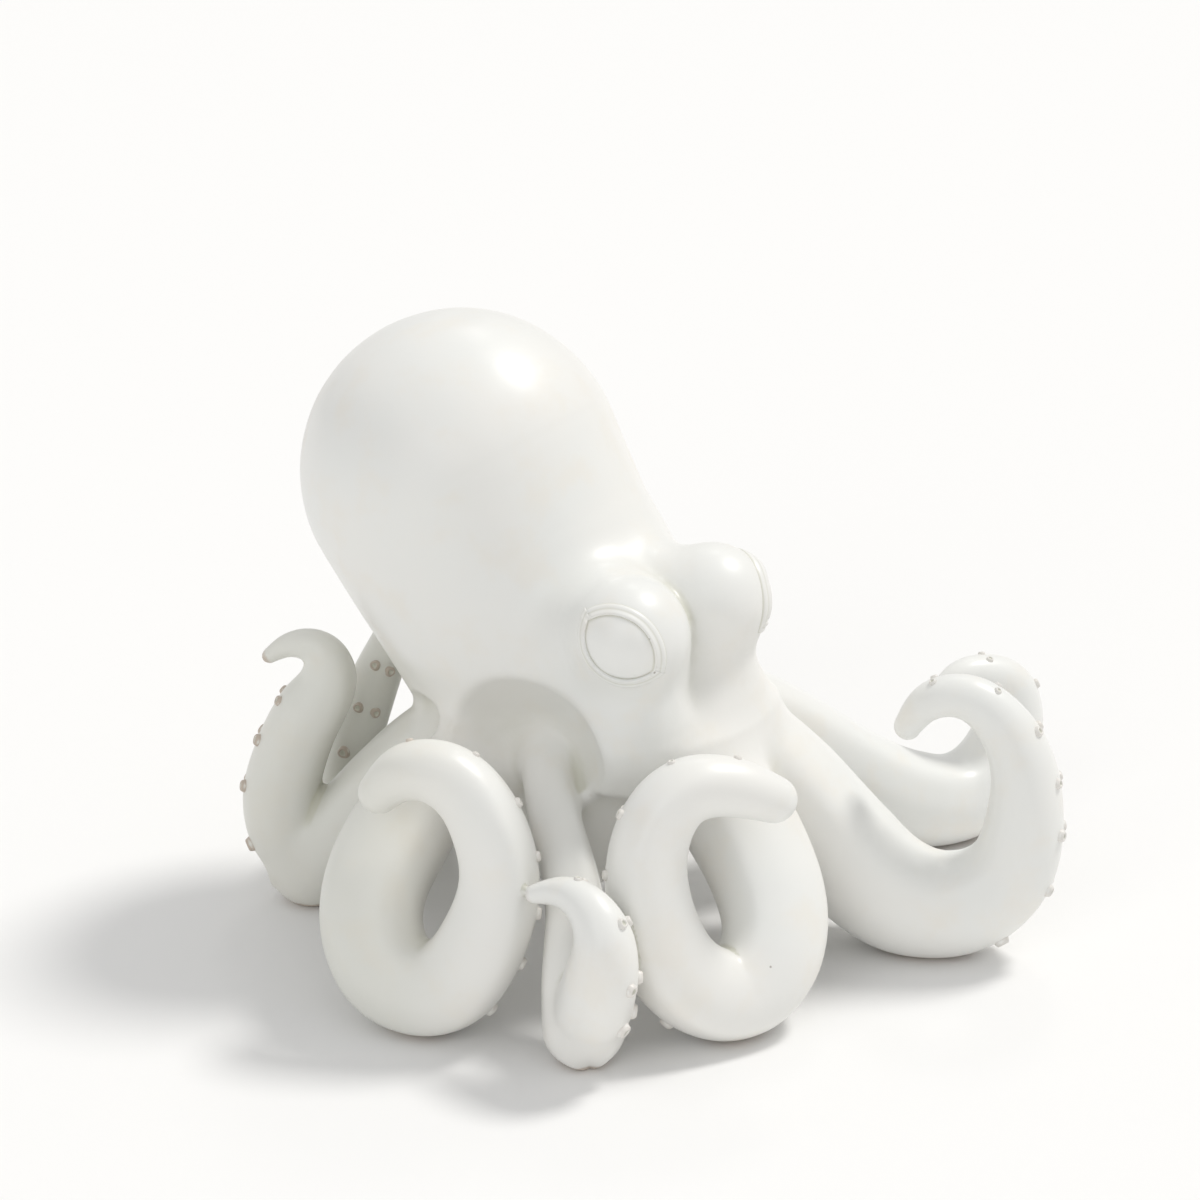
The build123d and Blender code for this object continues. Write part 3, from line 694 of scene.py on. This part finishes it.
for sign, eye in eyes.items():
    rings = []
    for share in np.r_[np.linspace(0.04, 0.84, 16), np.linspace(0.87, 1.0, 8)]:
        x, y = reach * share * cosine, reach * share * sine
        rolled = eyeSize["ballRoll"] * np.clip((share - 0.86) / 0.14, 0, 1) ** 2
        z = np.sqrt(ballRadius ** 2 - x ** 2 - y ** 2) + eyeSize["ballBulge"] * (1 - share ** 2) - rolled
        rings.append(np.c_[x, y, z])
    for sink in (2.0, 6.0):
        rings.append(np.c_[reach * cosine, reach * sine, rings[-1][:, 2] - sink])
    vertices, faces = gridMesh(np.array([eye["centre"] + r @ eye["axes"] for r in rings])[::-1])
    ballName = "eyeball_" + eyeNames[sign]
    pieces[ballName] = buildMesh(ballName + "_dome", vertices, faces)
    for lid, half, rise in (("upper", 1, eyeSize["upperRise"]), ("lower", -1, eyeSize["lowerRise"])):
        rows = []
        over = eyeSize["upperOver"] if lid == "upper" else 0.0
        for way in np.linspace(-1, 1, 90):
            radius = lensRadius + lidProfile[:, 0] * eyeSize["lid"]
            widest = np.arccos(np.clip(lensShift / radius, -1, 1)) + (over if way > 0 else over * 0.4)
            x, y = radius * np.sin(way * widest), half * (radius * np.cos(way * widest) - lensShift)
            fade = np.clip((1 - abs(way)) * 9, 0.55, 1) * (1 + 0.10 * math.sin(9 * way + sign))
            height = rise * lidProfile[:, 1] * np.where(lidProfile[:, 1] > 0, fade, 1)
            rows.append(np.c_[x, y, skinHeight(eye, x, y) + height])
        rings = np.array([eye["centre"] + r @ eye["axes"] for r in rows])
        vertices, faces = gridMesh(rings if half < 0 else rings[::-1])
        lidName = lid + "_eyelid_" + eyeNames[sign]
        pieces[lidName] = buildMesh(lidName + "_rim", vertices, faces)
print("scene: eyes")

# Suckers: dimpled rings in two rows on the underside of each arm, from its foot to its tip, each a turned profile. The
# rows of an arm that twists are turned by some degrees, and the bare places are arm, step and row
sucker = {"turned": {"right_1": 42.0, "right_2": 60.0, "right_3": -52.0}, "tall": 1.25, "diameter": 7.0, "pitch": 21.0,
          "rowAngle": 20.0, "sizes": (1.0, 0.85, 0.7, 0.5), "clear": 7.0, "turns": 20, "waver": 0.05,
          "bare": [("right_3", 1, 1), ("right_4", 5, -1), ("right_4", 5, 1), ("right_4", 6, -1), ("right_4", 6, 1)]}
suckerProfile = np.array([(1.16, -0.20), (1.12, 0.0), (1.04, 0.20), (0.94, 0.40), (0.80, 0.53), (0.64, 0.55),
                          (0.52, 0.46), (0.42, 0.32), (0.27, 0.24), (0.10, 0.21)])
turn = np.linspace(0, 2 * math.pi, sucker["turns"], endpoint=False)
cosine, sine = np.cos(turn)[:, None], np.sin(turn)[:, None]
for name in armRows:
    tube = curlTubes.get(name, armTubes[name])
    arc = np.r_[0, np.cumsum(np.linalg.norm(np.diff(tube["centre"], axis=0), axis=1))]
    first = arc[tube["centre"][:, 2].argmin()]
    count = int((arc[-1] - first) // sucker["pitch"])
    allVertices, allFaces, made = [], [], 0
    for step in range(1, count):
        at = first + (arc[-1] - first) * step / count
        size = sucker["sizes"][int(len(sucker["sizes"]) * step / count)] * sucker["diameter"] / 2
        there = {key: np.array([np.interp(at, arc, tube[key][:, k]) for k in range(3)])
                 for key in ("centre", "side", "back", "along")}
        for row in (-1, 1):
            lean = math.radians(row * sucker["rowAngle"] + sucker["turned"].get(name, 0.0))
            out = there["side"] * math.sin(lean) - there["back"] * math.cos(lean)
            out /= np.linalg.norm(out)
            seat = there["centre"] + out * np.interp(at, arc, tube["radius"])
            for _ in range(4):
                seat = seat - out * armField(seat[None], name)[0][0]
            if seat[2] <= sucker["clear"] or (name, step, row) in sucker["bare"]:
                continue
            normal = armField(seat[None], name)[1][0]
            u = there["along"] - normal * there["along"].dot(normal)
            u /= np.linalg.norm(u)
            wave = 1 + sucker["waver"] * np.sin(3 * turn + 7 * step + row)
            outline = wave[:, None] * (cosine * u + sine * np.cross(normal, u))
            rings = np.array([seat + size * (r * outline + h * sucker["tall"] * normal) for r, h in suckerProfile])
            vertices, faces = gridMesh(rings)
            allFaces += [f + made for f in faces]
            allVertices.append(vertices)
            made += len(vertices)
    pieces["suckers_" + name] = buildMesh("suckers_" + name + "_rings", np.vstack(allVertices), allFaces)
print("scene: suckers")


# Node helpers
def addNode(tree, kind, **settings):
    node = tree.nodes.new(kind)
    for key, setting in settings.items():
        if key in node.inputs:
            node.inputs[key].default_value = setting
        else:
            setattr(node, key, setting)
    return node


def link(tree, source, target):
    tree.links.new(source, target)


def mathNode(tree, operation, a, b=None, c=None):
    node = addNode(tree, "ShaderNodeMath", operation=operation)
    for index, entry in enumerate((a, b, c)):
        if entry is None:
            continue
        if isinstance(entry, (int, float)):
            node.inputs[index].default_value = entry
        else:
            link(tree, entry, node.inputs[index])
    return node.outputs[0]


# A value spread from one range to 0..1, smoothed at both ends
def rangeNode(tree, source, low, high):
    node = addNode(tree, "ShaderNodeMapRange", interpolation_type="SMOOTHSTEP")
    link(tree, source, node.inputs["Value"])
    node.inputs["From Min"].default_value, node.inputs["From Max"].default_value = low, high
    return node.outputs["Result"]


def mixColour(tree, factor, a, b):
    node = addNode(tree, "ShaderNodeMix", data_type="RGBA")
    if isinstance(factor, (int, float)):
        node.inputs[0].default_value = factor
    else:
        link(tree, factor, node.inputs[0])
    for index, entry in ((6, a), (7, b)):
        if isinstance(entry, tuple):
            node.inputs[index].default_value = (*entry, 1)
        else:
            link(tree, entry, node.inputs[index])
    return node.outputs[2]


# Glaze: colours, the shares with which they tint the white, and the ranges of bend, depth, place and height over which
# each tint comes in. Bend is 1 over millimetres, depth is millimetres, and places and heights are metres
glaze = {
    "white": (0.845, 0.835, 0.80), "cool": (0.82, 0.825, 0.80), "cream": (0.83, 0.80, 0.735),
    "olive": (0.60, 0.595, 0.50), "brown": (0.36, 0.22, 0.13), "clay": (0.70, 0.62, 0.53), "pinhole": (0.23, 0.18, 0.14),
    "creamShare": 0.55, "breakShare": 0.50, "poolShadeShare": 0.72, "hollowShadeShare": 0.16, "heavyShare": 0.36, "oxideShare": 0.45,
    "poolShadeBend": (0.012, 0.075), "breakBend": (0.085, 0.16), "hollowShadeRange": (0.3, 3.0),
    "heavyWay": (-0.53, 0.848, 0.0), "heavyFrom": (0.10, 0.17), "heavyTop": (0.142, 0.155),
    "footRange": (-0.0012, 0.0008), "oxideRange": (-0.0002, 0.0022), "pinholeShare": 0.6, "pinholeSize": (0.022, 0.05),
    "roughness": 0.34, "coatRoughness": 0.24, "bump": 0.16, "bumpDepth": 0.0012,
}


# One coat for every piece: colour, roughness and normal. Sharp edges break to brown, creases turn olive with pooled
# glaze and painted shade, and broad hollows take painted olive shade
def glazeGroup():
    group = bpy.data.node_groups.new("glazeCoat", "ShaderNodeTree")
    face = group.interface
    face.new_socket("Breaks", in_out="INPUT", socket_type="NodeSocketFloat").default_value = 1.0
    face.new_socket("Color", in_out="OUTPUT", socket_type="NodeSocketColor")
    face.new_socket("Roughness", in_out="OUTPUT", socket_type="NodeSocketFloat")
    face.new_socket("Normal", in_out="OUTPUT", socket_type="NodeSocketVector")
    entry, end = addNode(group, "NodeGroupInput"), addNode(group, "NodeGroupOutput")
    place = addNode(group, "ShaderNodeTexCoord").outputs["Object"]

    def noise(scale, detail=3.0, rough=0.5, shift=0.0):
        node = addNode(group, "ShaderNodeTexNoise", Scale=scale, Detail=detail, Roughness=rough)
        moved = addNode(group, "ShaderNodeVectorMath", operation="ADD")
        moved.inputs[1].default_value = (shift, shift * 1.7, -shift)
        link(group, place, moved.inputs[0])
        link(group, moved.outputs[0], node.inputs["Vector"])
        return node.outputs["Fac"]

    def scaled(mask, share):
        return mathNode(group, "MULTIPLY", mask, share)

    def inverse(mask):
        return mathNode(group, "SUBTRACT", 1.0, mask)

    def tint(colour, mask, share, added):
        return mixColour(group, scaled(mask, share), colour, glaze[added])

    drift, patch, speck = noise(9.0), noise(38.0, 4.0, 0.55, 3.1), noise(420.0, 3.0, 0.6, 1.7)
    colour = mixColour(group, rangeNode(group, drift, 0.35, 0.65), glaze["white"], glaze["cool"])
    colour = tint(colour, rangeNode(group, patch, 0.48, 0.72), glaze["creamShare"], "cream")
    bend = addNode(group, "ShaderNodeAttribute", attribute_name="edgeBend").outputs["Fac"]
    # concave creases turn olive: partly glaze pooled in them, partly painted shade
    colour = tint(colour, rangeNode(group, scaled(bend, -1.0), *glaze["poolShadeBend"]), glaze["poolShadeShare"], "olive")
    # broad hollows get painted shade, in olive
    depth = addNode(group, "ShaderNodeAttribute", attribute_name="hollowDepth").outputs["Fac"]
    hollowShade = rangeNode(group, mathNode(group, "MULTIPLY_ADD", patch, 0.8, depth), *glaze["hollowShadeRange"])
    colour = tint(colour, hollowShade, glaze["hollowShadeShare"], "olive")
    edge = rangeNode(group, mathNode(group, "MULTIPLY_ADD", speck, 0.05, bend), *glaze["breakBend"])
    edge = scaled(edge, entry.outputs["Breaks"])
    # a thicker coat ran down the arms on the figure's far right: olive, with browner breaks
    side = addNode(group, "ShaderNodeVectorMath", operation="DOT_PRODUCT")
    side.inputs[1].default_value = glaze["heavyWay"]
    link(group, place, side.inputs[0])
    heavy = rangeNode(group, mathNode(group, "MULTIPLY_ADD", drift, 0.04, side.outputs["Value"]), *glaze["heavyFrom"])
    height = addNode(group, "ShaderNodeSeparateXYZ")
    link(group, place, height.inputs[0])
    heavy = scaled(heavy, inverse(rangeNode(group, height.outputs["Z"], *glaze["heavyTop"])))
    colour = tint(colour, heavy, glaze["heavyShare"], "olive")
    edge = scaled(edge, mathNode(group, "MULTIPLY_ADD", heavy, 0.8, 0.35))
    colour = tint(colour, edge, glaze["breakShare"], "brown")
    # the foot line: bare clay under 1 mm, a brown breath of oxide up to about 3 mm, both ragged
    ragged = mathNode(group, "MULTIPLY_ADD", patch, -0.004, height.outputs["Z"])
    foot = inverse(rangeNode(group, ragged, *glaze["footRange"]))
    colour = tint(colour, inverse(rangeNode(group, ragged, *glaze["oxideRange"])), glaze["oxideShare"], "brown")
    colour = mixColour(group, foot, colour, glaze["clay"])
    # pinholes: the middles of a few cells of a Voronoi pattern
    cells = addNode(group, "ShaderNodeTexVoronoi", Scale=62.0)
    link(group, place, cells.inputs["Vector"])
    tone = addNode(group, "ShaderNodeSeparateColor")
    link(group, cells.outputs["Color"], tone.inputs[0])
    few = mathNode(group, "GREATER_THAN", tone.outputs[0], 0.86)
    hole = scaled(inverse(rangeNode(group, cells.outputs["Distance"], *glaze["pinholeSize"])), few)
    colour = tint(colour, hole, glaze["pinholeShare"], "pinhole")
    link(group, colour, end.inputs["Color"])
    rough = mathNode(group, "MULTIPLY_ADD", patch, 0.12, glaze["roughness"])
    rough = mathNode(group, "MULTIPLY_ADD", foot, 0.5, rough)
    link(group, rough, end.inputs["Roughness"])
    # slow dimples, fine grain and the pits of the pinholes
    lift = mathNode(group, "ADD", noise(60.0, 2.0, 0.45, 5.0), scaled(hole, -0.8))
    lift = mathNode(group, "MULTIPLY_ADD", speck, 0.05, lift)
    bump = addNode(group, "ShaderNodeBump", Strength=glaze["bump"], Distance=glaze["bumpDepth"])
    link(group, lift, bump.inputs["Height"])
    link(group, bump.outputs["Normal"], end.inputs["Normal"])
    return group


def glazeMaterial(name, group, breaks, coat):
    material = bpy.data.materials.new(name)
    material.use_nodes = True
    tree = material.node_tree
    shader = tree.nodes["Principled BSDF"]
    coatNode = addNode(tree, "ShaderNodeGroup")
    coatNode.node_tree = group
    coatNode.inputs["Breaks"].default_value = breaks
    link(tree, coatNode.outputs["Color"], shader.inputs["Base Color"])
    link(tree, coatNode.outputs["Roughness"], shader.inputs["Roughness"])
    link(tree, coatNode.outputs["Normal"], shader.inputs["Normal"])
    shader.inputs["Coat Weight"].default_value = coat
    shader.inputs["Coat Roughness"].default_value = glaze["coatRoughness"]
    shader.inputs["IOR"].default_value = 1.5
    shader.inputs["Specular IOR Level"].default_value = 0.4
    return material


coatGroup = glazeGroup()
skinGlaze = glazeMaterial("glazedStoneware", coatGroup, 1.0, 0.22)
trimGlaze = glazeMaterial("glazedTrim", coatGroup, 0.9, 0.22)
eyeGlaze = glazeMaterial("eyeGlaze", coatGroup, 0.3, 0.35)


# Edge bend of a small piece: how far each point stands off the mean of its neighbours, over their spacing squared. The
# eyeballs and lids have theirs by ring and by profile point, for the dark olive line round an eye: glaze pooled in the
# groove, and painted shade there
def smallBend(node, mesh):
    count = len(mesh.vertices)
    bend = np.zeros(count)
    if node.startswith("eyeball"):
        ring = np.arange(count - 2) // ballTurns
        # the rim rings of an eyeball read as a crease and are tinted olive: glaze pooled under the lids, and painted
        # shade there
        bend[:-2] = -0.08 * np.clip(1 - np.maximum(ring - 2, 0) / 5, 0, 1)
        return bend
    if node.startswith(("upper", "lower")):
        bend[:-2] = lidBend[np.arange(count - 2) % len(lidProfile)]
        return bend
    co, normal = np.empty(count * 3, np.float32), np.empty(count * 3, np.float32)
    mesh.vertices.foreach_get("co", co)
    mesh.vertices.foreach_get("normal", normal)
    co, normal = co.reshape(-1, 3).astype(float) / mm, normal.reshape(-1, 3)
    pairs = np.empty(len(mesh.edges) * 2, np.int32)
    mesh.edges.foreach_get("vertices", pairs)
    pairs = np.vstack([pairs.reshape(-1, 2), pairs.reshape(-1, 2)[:, ::-1]])
    near = np.maximum(np.bincount(pairs[:, 0], minlength=count), 1)
    mean = np.stack([np.bincount(pairs[:, 0], co[pairs[:, 1], k], count) for k in range(3)], 1) / near[:, None]
    gap = np.bincount(pairs[:, 0], ((co[pairs[:, 0]] - co[pairs[:, 1]]) ** 2).sum(1), count) / near
    return -((mean - co) * normal).sum(1) / np.maximum(gap, 0.05)


# Every piece stands for its CAD node, rides on the one body and takes its glaze
for node, piece in pieces.items():
    isEye, isSkin = node.startswith("eyeball"), "edgeBend" in piece.data.attributes
    if not isSkin:
        entry = piece.data.attributes.new("edgeBend", "FLOAT", "POINT")
        entry.data.foreach_set("value", smallBend(node, piece.data).astype(np.float32))
    piece.data.materials.append(eyeGlaze if isEye else skinGlaze if isSkin else trimGlaze)
    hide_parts(node)
    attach(piece, "root")
print("scene: materials")

# Studio: a pale floor that runs to the horizon, a broad sun for the key, two weak ones from the front and the rear, and a
# white world. Turns and heights are degrees, and the camera's place and aim are millimetres
studio = {
    "azimuth": -58.0, "elevation": 22.0, "distance": 1700.0, "aimHeight": 172.0, "aimLeft": 3.4, "lens": 105.06,
    # each light: turn, height, power, softness and colour
    "key": (120.0, 57.0, 1.6, 13.0, (1.0, 0.985, 0.96)),
    "front": (-24.0, 28.0, 0.36, 40.0, (0.97, 0.985, 1.0)),
    "rear": (172.0, 48.0, 0.10, 9.0, (1.0, 0.99, 0.97)),
    "world": 0.63, "backdrop": 0.972, "floor": (0.878, 0.875, 0.868), "floorReach": 24.0,
}
azimuth, elevation = math.radians(studio["azimuth"]), math.radians(studio["elevation"])


# Unit vector towards a place that is turned about the up axis from the front and raised above the floor, in radians
def towards(turned, raised):
    return Vector((math.sin(turned) * math.cos(raised), -math.cos(turned) * math.cos(raised), math.sin(raised)))


backwards = towards(azimuth, elevation)
rightwards = Vector((math.cos(azimuth), math.sin(azimuth), 0))
aim = Vector((hub[0], hub[1], studio["aimHeight"])) - rightwards * studio["aimLeft"]
camera = bpy.data.objects.new("camera", bpy.data.cameras.new("camera"))
bpy.context.scene.collection.objects.link(camera)
bpy.context.scene.camera = camera
camera.location = (aim + backwards * studio["distance"]) * mm
camera.rotation_mode = "QUATERNION"
camera.rotation_quaternion = (-backwards).to_track_quat("-Z", "Y")
camera.data.lens = studio["lens"]
camera.data.sensor_width = 36.0
camera.data.clip_start, camera.data.clip_end = 0.05, 60.0


# A sun that shines from a turn about the camera's own line of sight, positive to its right, and a height
def addSun(name, turn, height, power, soft, colour):
    light = bpy.data.objects.new(name, bpy.data.lights.new(name, "SUN"))
    bpy.context.scene.collection.objects.link(light)
    source = towards(math.radians(studio["azimuth"] + turn), math.radians(height))
    light.rotation_mode = "QUATERNION"
    light.rotation_quaternion = source.to_track_quat("Z", "Y")
    light.data.energy = power
    light.data.angle = math.radians(soft)
    light.data.color = colour
    light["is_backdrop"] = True


for name in ("key", "front", "rear"):
    addSun(name, *studio[name])

floorMesh = bpy.data.meshes.new("floor")
corners = [(x * studio["floorReach"], y * studio["floorReach"], 0) for x, y in ((-1, -1), (1, -1), (1, 1), (-1, 1))]
floorMesh.from_pydata(corners, [], [(0, 1, 2, 3)])
floor = bpy.data.objects.new("floor", floorMesh)
bpy.context.scene.collection.objects.link(floor)
floor.location.z = -0.0002
floorPaint = bpy.data.materials.new("floorPaper")
floorPaint.use_nodes = True
tree = floorPaint.node_tree
shader = tree.nodes["Principled BSDF"]
shader.inputs["Roughness"].default_value = 0.85
shader.inputs["Specular IOR Level"].default_value = 0.1
grain = addNode(tree, "ShaderNodeTexNoise", Scale=900.0, Detail=2.0)
link(tree, addNode(tree, "ShaderNodeTexCoord").outputs["Object"], grain.inputs["Vector"])
fleck = tuple(c * 0.985 for c in studio["floor"])
tone = mixColour(tree, mathNode(tree, "MULTIPLY", grain.outputs["Fac"], 0.25), studio["floor"], fleck)
link(tree, tone, shader.inputs["Base Color"])
floorMesh.materials.append(floorPaint)
floor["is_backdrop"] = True

world = bpy.data.worlds.new("studio")
bpy.context.scene.world = world
world.use_nodes = True
tree = world.node_tree
tree.nodes.clear()
output = addNode(tree, "ShaderNodeOutputWorld")
ambient = addNode(tree, "ShaderNodeBackground", Strength=studio["world"])
seen = addNode(tree, "ShaderNodeBackground", Strength=1.0)
ambient.inputs["Color"].default_value = (1.0, 1.0, 1.0, 1)
seen.inputs["Color"].default_value = (studio["backdrop"],) * 3 + (1,)
path = addNode(tree, "ShaderNodeLightPath")
chosen = addNode(tree, "ShaderNodeMixShader")
link(tree, path.outputs["Is Camera Ray"], chosen.inputs[0])
link(tree, ambient.outputs[0], chosen.inputs[1])
link(tree, seen.outputs[0], chosen.inputs[2])
link(tree, chosen.outputs[0], output.inputs["Surface"])
bpy.context.scene.view_settings.view_transform = "Standard"
print("scene: studio")

lowest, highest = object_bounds()
print("scene: box", [round(v, 4) for v in lowest], [round(v, 4) for v in highest])
